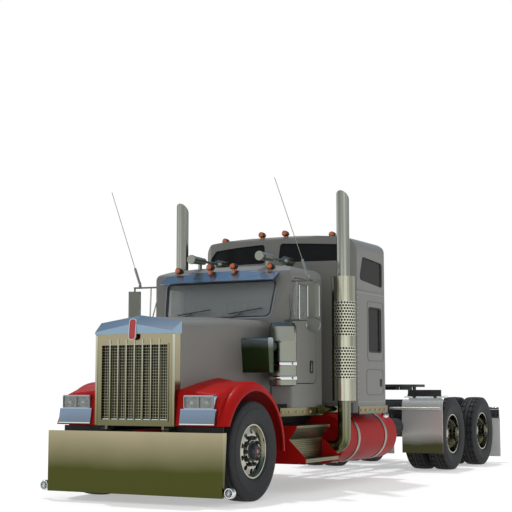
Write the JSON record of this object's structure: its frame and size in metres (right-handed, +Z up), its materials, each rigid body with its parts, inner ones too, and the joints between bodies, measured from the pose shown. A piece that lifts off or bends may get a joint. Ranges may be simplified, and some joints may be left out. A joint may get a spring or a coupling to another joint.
{
  "type": "semi truck tractor unit",
  "caption": "Long-nose highway tractor with a tall sleeper, tilting hood, steered front wheels, twin drive wheels, hinged doors and a rocking fifth wheel.",
  "frame": {"origin": "on the ground under the middle of the bounding box", "axes": "-Y forward, +X to the truck's left side, +Z up"},
  "size_m": [2.6116, 8.91, 3.5958],
  "materials": {
    "grey_paint": "smooth enamel",
    "red_paint": "smooth enamel",
    "chrome": "polished",
    "aluminium": "polished",
    "tyre": "matt rubber",
    "black_steel": "satin paint",
    "iron": "painted casting",
    "clear_glass": "clear tint",
    "dark_glass": "dark tint",
    "amber_lens": "clear amber",
    "red_lens": "clear red",
    "trim": "grained",
    "seat_cover": "woven",
    "boot_rubber": "matt",
    "flap_rubber": "matt pale grey"
  },
  "bodies": {
    "chassis": {"frame_rails": "black_steel", "crossmembers": "black_steel", "front_bumper": "chrome", "engine": "iron", "front_axle": "iron", "rear_axles": "iron", "cab_shell": "grey_paint", "windshield": "clear_glass", "sun_visor": "chrome", "dashboard": "trim", "seats": "seat_cover", "marker_lamps": "amber_lens", "air_horns": "chrome", "mirrors": "chrome", "antennas": "black_steel", "air_cleaners": "chrome", "cab_boot": "boot_rubber", "sleeper_shell": "grey_paint", "sleeper_glass": "dark_glass", "side_skirts": "chrome", "exhaust_stacks": "chrome", "exhaust_shields": "chrome", "fuel_tanks": "red_paint", "tank_straps": "chrome", "air_reservoirs": "black_steel", "step_boxes": "aluminium", "step_side_plates": "red_paint", "rear_fenders": "chrome", "fifth_wheel_base": "black_steel", "mud_flaps": "flap_rubber", "flap_hangers": "chrome", "tail_lamps": "red_lens"},
    "hood": {"hood_shell": "grey_paint", "front_fenders": "red_paint", "grille_shell": "chrome", "grille_bars": "chrome", "headlamps": "chrome", "intake_scoops": "chrome"},
    "knuckle_left": {"knuckle_left": "iron"},
    "knuckle_right": {"knuckle_right": "iron"},
    "tie_rod": {"tie_rod": "iron"},
    "front_wheel_left": {"front_wheel_left": "aluminium", "front_tyre_left": "tyre"},
    "front_wheel_right": {"front_wheel_right": "aluminium", "front_tyre_right": "tyre"},
    "door_left": {"door_left": "grey_paint", "door_glass_left": "clear_glass"},
    "door_right": {"door_right": "grey_paint", "door_glass_right": "clear_glass"},
    "fifth_wheel_plate": {"fifth_wheel_plate": "black_steel"},
    "front_drive_wheel_left": {"front_drive_wheel_left": "aluminium", "front_drive_tyres_left": "tyre"},
    "front_drive_wheel_right": {"front_drive_wheel_right": "aluminium", "front_drive_tyres_right": "tyre"},
    "rear_drive_wheel_left": {"rear_drive_wheel_left": "aluminium", "rear_drive_tyres_left": "tyre"},
    "rear_drive_wheel_right": {"rear_drive_wheel_right": "aluminium", "rear_drive_tyres_right": "tyre"}
  },
  "joints": [
    {"name": "hood_tilt", "type": "hinge", "parent": "chassis", "child": "hood", "pos_m": [0, -4.375, 0.765], "axis": [1, 0, 0], "range_deg": [0, 65]},
    {"name": "steer_left", "type": "hinge", "parent": "chassis", "child": "knuckle_left", "pos_m": [0.87, -3.695, 0.527], "axis": [0, 0, 1], "range_deg": [-38, 38]},
    {"name": "steer_right", "type": "hinge", "parent": "chassis", "child": "knuckle_right", "pos_m": [-0.87, -3.695, 0.527], "axis": [0, 0, 1], "range_deg": [-38, 38]},
    {"name": "tie_rod_pivot", "type": "hinge", "parent": "knuckle_left", "child": "tie_rod", "pos_m": [0.87, -3.57, 0.409], "axis": [0, 0, 1], "range_deg": [-38, 38]},
    {"name": "front_wheel_left_spin", "type": "hinge", "parent": "knuckle_left", "child": "front_wheel_left", "pos_m": [0.926, -3.695, 0.527], "axis": [1, 0, 0], "continuous": true},
    {"name": "front_wheel_right_spin", "type": "hinge", "parent": "knuckle_right", "child": "front_wheel_right", "pos_m": [-0.926, -3.695, 0.527], "axis": [1, 0, 0], "continuous": true},
    {"name": "door_left_swing", "type": "hinge", "parent": "chassis", "child": "door_left", "pos_m": [0.946, -2.594, 1.8], "axis": [0, 0, -1], "range_deg": [0, 65]},
    {"name": "door_right_swing", "type": "hinge", "parent": "chassis", "child": "door_right", "pos_m": [-0.946, -2.594, 1.8], "axis": [0, 0, 1], "range_deg": [0, 65]},
    {"name": "fifth_wheel_rock", "type": "hinge", "parent": "chassis", "child": "fifth_wheel_plate", "pos_m": [0, 2.785, 1.135], "axis": [1, 0, 0], "range_deg": [-10, 10]},
    {"name": "front_drive_wheel_left_spin", "type": "hinge", "parent": "chassis", "child": "front_drive_wheel_left", "pos_m": [0.8965, 2.2425, 0.527], "axis": [1, 0, 0], "continuous": true},
    {"name": "front_drive_wheel_right_spin", "type": "hinge", "parent": "chassis", "child": "front_drive_wheel_right", "pos_m": [-0.8965, 2.2425, 0.527], "axis": [1, 0, 0], "continuous": true},
    {"name": "rear_drive_wheel_left_spin", "type": "hinge", "parent": "chassis", "child": "rear_drive_wheel_left", "pos_m": [0.8965, 3.6395, 0.527], "axis": [1, 0, 0], "continuous": true},
    {"name": "rear_drive_wheel_right_spin", "type": "hinge", "parent": "chassis", "child": "rear_drive_wheel_right", "pos_m": [-0.8965, 3.6395, 0.527], "axis": [1, 0, 0], "continuous": true}
  ],
  "couplings": [
    {"joint": "steer_right", "follows": "steer_left", "ratio": 1},
    {"joint": "tie_rod_pivot", "follows": "steer_left", "ratio": -1}
  ]
}
